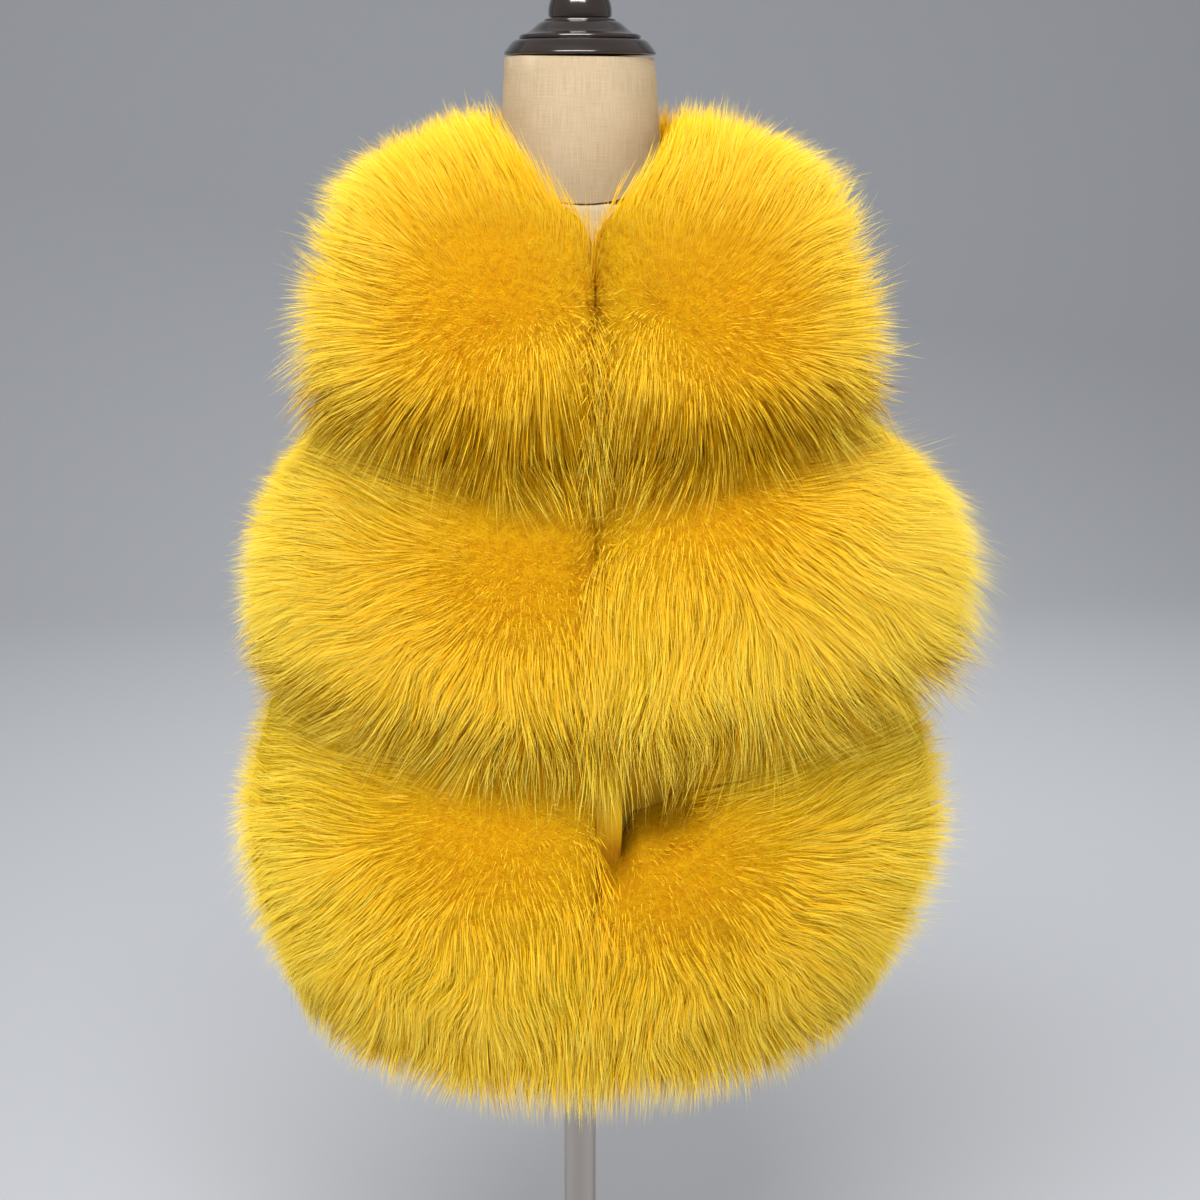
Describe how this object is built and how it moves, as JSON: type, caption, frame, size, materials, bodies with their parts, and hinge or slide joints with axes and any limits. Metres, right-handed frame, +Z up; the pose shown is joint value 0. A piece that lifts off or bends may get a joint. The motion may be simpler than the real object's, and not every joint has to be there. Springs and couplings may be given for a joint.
{
  "type": "fur gilet on a dress form",
  "caption": "Child's sleeveless fur gilet in horizontal rows of long pile, edge to edge at the front, worn by a limbless linen dress form on a round metal stand.",
  "frame": {"origin": "centre of the base's underside, on the pole's axis", "axes": "+Z up the pole; the garment's front faces -Y; the wearer's left side is at +X"},
  "size_m": [0.4647, 0.321, 0.9039],
  "materials": {
    "fur": "long vivid yellow pile, deeper orange at the roots and pale at the tips",
    "ground_cloth": "smooth matt cloth under the pile",
    "facing_cloth": "short smooth nap",
    "linen": "fine plain weave, natural linen",
    "lacquered_wood": "turned, dark brown gloss lacquer",
    "polished_steel": "polished tube",
    "brushed_steel": "satin",
    "dark_steel": "satin black"
  },
  "bodies": {
    "root": {"cloth_back": "ground_cloth", "cloth_front_left": "ground_cloth", "cloth_front_right": "ground_cloth", "form_neck": "linen", "form_torso": "linen", "front_facing_left": "facing_cloth", "fur_bottom_back": "fur", "fur_bottom_front_left": "fur", "fur_bottom_front_right": "fur", "fur_middle_back": "fur", "fur_middle_front_left": "fur", "fur_middle_front_right": "fur", "fur_top_back": "fur", "fur_top_front_left": "fur", "fur_top_front_right": "fur", "neck_cap": "lacquered_wood", "pole_flange": "dark_steel", "stand_base": "brushed_steel", "stand_pole": "polished_steel"}
  },
  "joints": []
}
